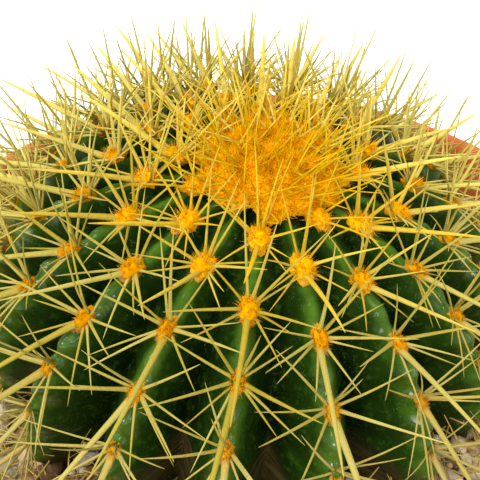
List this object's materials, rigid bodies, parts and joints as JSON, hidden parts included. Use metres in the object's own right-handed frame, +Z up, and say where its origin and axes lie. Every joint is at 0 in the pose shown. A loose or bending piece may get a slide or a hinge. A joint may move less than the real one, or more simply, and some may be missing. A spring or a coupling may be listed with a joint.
{
  "type": "potted round cactus",
  "caption": "Round ribbed cactus with golden spines and a woolly crown, rooted in soil under gravel in a plain terracotta pot.",
  "frame": {"origin": "centre of the flat underside of the pot, on the pot's axis", "axes": "+Z up along the pot's axis, -Y towards the front of the picture, +X to its right"},
  "size_m": [0.26, 0.26, 0.2606],
  "materials": {
    "terracotta": "matt fired clay",
    "potting_soil": "dark gritty potting mix",
    "gravel_stones": "dry mixed quartz and tan pebbles",
    "cactus_flesh": "smooth waxy green skin with straw-yellow spines",
    "crown_felt": "orange-yellow felt with golden spines"
  },
  "bodies": {
    "root": {"pot": "terracotta", "soil": "potting_soil", "gravel": "gravel_stones", "cactus": "cactus_flesh", "crown_wool": "crown_felt"}
  },
  "joints": []
}
